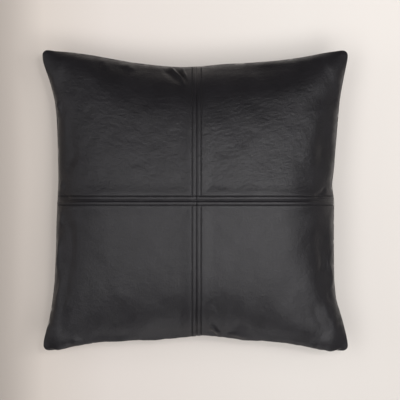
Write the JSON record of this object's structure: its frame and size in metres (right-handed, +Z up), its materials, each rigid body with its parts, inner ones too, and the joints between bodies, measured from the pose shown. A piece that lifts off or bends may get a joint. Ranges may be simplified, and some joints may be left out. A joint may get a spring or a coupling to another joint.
{
  "type": "throw pillow",
  "caption": "Square leather throw pillow with a seamed four-panel front, knife edges, a zip in the bottom side and a filled insert.",
  "frame": {"origin": "under the middle of the pillow, on the surface it lies on", "axes": "+Z up through the four-panel front, +Y towards the edge opposite the zip, +X to the right seen from the front"},
  "size_m": [0.4927, 0.4828, 0.1356],
  "materials": {
    "cover_leather": "satin",
    "thread": "satin",
    "zip_tape": "matte",
    "zip_coil": "satin",
    "zip_metal": "satin",
    "insert_ticking": "matte",
    "insert_thread": "matte",
    "insert_filling": "matte"
  },
  "bodies": {
    "cover": {"front_panel_upper_left": "cover_leather", "front_panel_upper_right": "cover_leather", "front_panel_lower_left": "cover_leather", "front_panel_lower_right": "cover_leather", "back_panel": "cover_leather", "topstitch_vertical_upper_left": "thread", "topstitch_vertical_upper_right": "thread", "topstitch_vertical_lower_left": "thread", "topstitch_vertical_lower_right": "thread", "topstitch_horizontal_upper": "thread", "topstitch_horizontal_lower": "thread", "perimeter_seam_thread": "thread", "zipper_tape_front": "zip_tape", "zipper_tape_back": "zip_tape", "zipper_coil_front": "zip_coil", "zipper_coil_back": "zip_coil", "zipper_bottom_stop": "zip_metal", "zipper_top_stops": "zip_metal", "insert_ticking_front": "insert_ticking", "insert_ticking_back": "insert_ticking", "insert_seam_thread": "insert_thread", "insert_filling": "insert_filling"},
    "slider": {"zipper_slider": "zip_metal"},
    "pull": {"zipper_pull": "zip_metal"}
  },
  "joints": [
    {"name": "slider_travel", "type": "hinge", "parent": "cover", "child": "slider", "pos_m": [0, -1.23475, 0.065], "axis": [0, 0, -1], "range_deg": [0, 19]},
    {"name": "pull_swing", "type": "hinge", "parent": "slider", "child": "pull", "pos_m": [-0.16782, -0.23002, 0.065], "axis": [0, 0, -1], "range_deg": [0, 165]}
  ]
}
